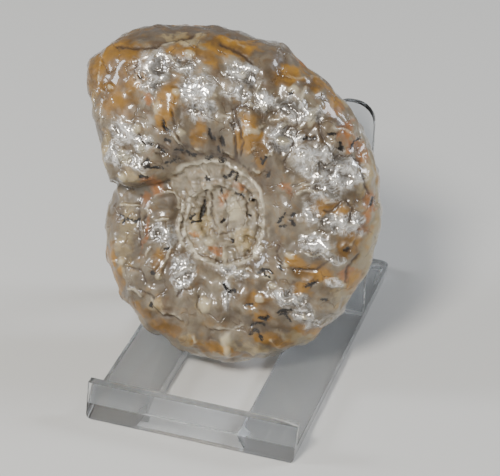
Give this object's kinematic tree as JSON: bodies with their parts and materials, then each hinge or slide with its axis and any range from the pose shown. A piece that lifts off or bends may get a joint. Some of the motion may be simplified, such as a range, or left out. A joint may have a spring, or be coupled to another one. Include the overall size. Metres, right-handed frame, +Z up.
{
  "type": "ceratite ammonite fossil on a display stand",
  "caption": "Coiled ceratite ammonite fossil in varnished stone, leaning back in a small clear one-piece easel stand with a front lip, a windowed base and a back plate with two rounded arms.",
  "frame": {"origin": "on the stand's flat underside, at mid width, in the middle of the solid part of the base behind the back plate", "axes": "+X to the right as the fossil faces the viewer, +Y from the front lip towards the back plate, +Z up"},
  "size_m": [0.0607, 0.078, 0.0626],
  "materials": {
    "varnished_stone": null,
    "clear_plastic": "clear injection-moulded polystyrene or acrylic, polished, see-through"
  },
  "bodies": {
    "root": {"ammonite_fossil": "varnished_stone", "display_stand": "clear_plastic"}
  },
  "joints": []
}
